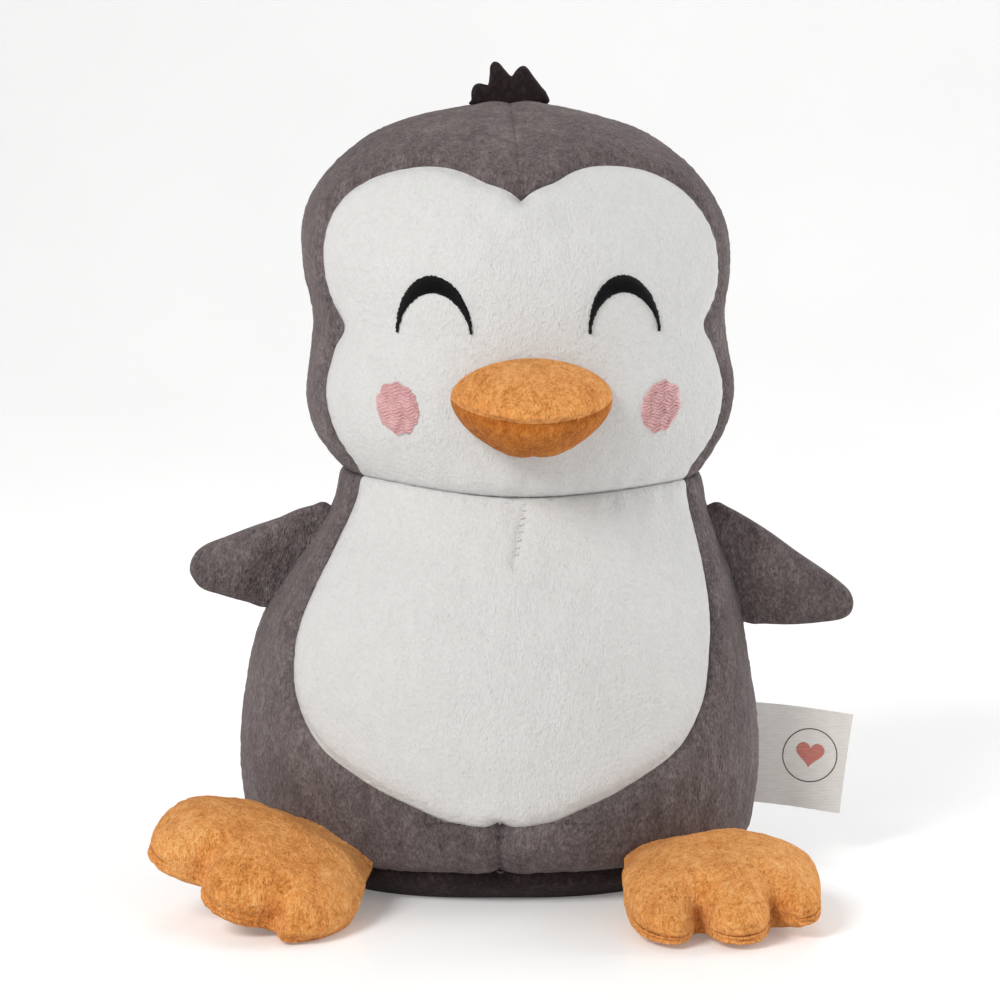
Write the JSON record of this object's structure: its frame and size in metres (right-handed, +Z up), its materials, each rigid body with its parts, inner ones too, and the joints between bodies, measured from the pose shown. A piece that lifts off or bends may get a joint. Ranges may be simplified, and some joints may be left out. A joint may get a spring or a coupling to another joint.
{
  "type": "plush penguin",
  "caption": "Sitting plush penguin with a white face and belly, smiling eyes, padded beak, flipper wings and feet.",
  "frame": {"origin": "centre of the flat base that the toy sits on", "axes": "+Z up; the penguin faces -Y; its own left is +X"},
  "size_m": [0.2317, 0.1975, 0.27],
  "materials": {
    "grey_pile": "matte",
    "white_pile": "matte",
    "orange_pile": "matte",
    "deep_orange_pile": "matte",
    "dark_velvet": "matte",
    "black_thread": "satin",
    "pink_thread": "satin",
    "label_satin": "satin",
    "stuffing": "matte"
  },
  "bodies": {
    "torso": {"body_left_panel": "grey_pile", "body_right_panel": "grey_pile", "belly_panel": "white_pile", "base_panel": "grey_pile", "body_stuffing": "stuffing"},
    "head": {"head_left_panel": "grey_pile", "head_right_panel": "grey_pile", "face_panel": "white_pile", "head_stuffing": "stuffing", "beak_upper": "orange_pile", "beak_lower": "deep_orange_pile", "beak_stuffing": "stuffing", "eye_left": "black_thread", "eye_right": "black_thread", "cheek_left": "pink_thread", "cheek_right": "pink_thread"},
    "tuft": {"tuft_front": "dark_velvet", "tuft_back": "dark_velvet"},
    "wing_left": {"wing_left_front": "grey_pile", "wing_left_back": "grey_pile", "wing_left_stuffing": "stuffing"},
    "wing_right": {"wing_right_front": "grey_pile", "wing_right_back": "grey_pile", "wing_right_stuffing": "stuffing"},
    "foot_left": {"foot_left_upper": "orange_pile", "foot_left_sole": "orange_pile", "foot_left_stuffing": "stuffing"},
    "foot_right": {"foot_right_upper": "orange_pile", "foot_right_sole": "orange_pile", "foot_right_stuffing": "stuffing"},
    "label": {"label": "label_satin"}
  },
  "joints": [
    {"name": "head_nod", "type": "hinge", "parent": "torso", "child": "head", "pos_m": [0.007, 0, 0.132], "axis": [1, 0, 0], "range_deg": [-8, 8], "stiffness_Nm_per_rad": 2},
    {"name": "tuft_sway", "type": "hinge", "parent": "head", "child": "tuft", "pos_m": [0.003, 0, 0.2566], "axis": [1, 0, 0], "range_deg": [-25, 25], "stiffness_Nm_per_rad": 0.0005},
    {"name": "wing_left_swing", "type": "hinge", "parent": "torso", "child": "wing_left", "pos_m": [0.0779, -0.006, 0.107], "axis": [0.342, 0, -0.9397], "range_deg": [-50, 60], "stiffness_Nm_per_rad": 0.005},
    {"name": "wing_right_swing", "type": "hinge", "parent": "torso", "child": "wing_right", "pos_m": [-0.0685, -0.006, 0.107], "axis": [0.5446, 0, 0.8387], "range_deg": [-50, 60], "stiffness_Nm_per_rad": 0.005},
    {"name": "foot_left_lift", "type": "hinge", "parent": "torso", "child": "foot_left", "pos_m": [0.06129, -0.04953, 0.01631], "axis": [-0.7802, -0.6084, -0.1456], "range_deg": [-20, 38], "stiffness_Nm_per_rad": 0.03},
    {"name": "foot_right_lift", "type": "hinge", "parent": "torso", "child": "foot_right", "pos_m": [-0.06202, -0.05102, 0.02068], "axis": [-0.7594, 0.5096, 0.4046], "range_deg": [-20, 38], "stiffness_Nm_per_rad": 0.03},
    {"name": "label_swing", "type": "hinge", "parent": "torso", "child": "label", "pos_m": [0.0888, 0.003, 0.036], "axis": [0.1219, 0, 0.9925], "range_deg": [-70, 70], "stiffness_Nm_per_rad": 0.0005}
  ]
}
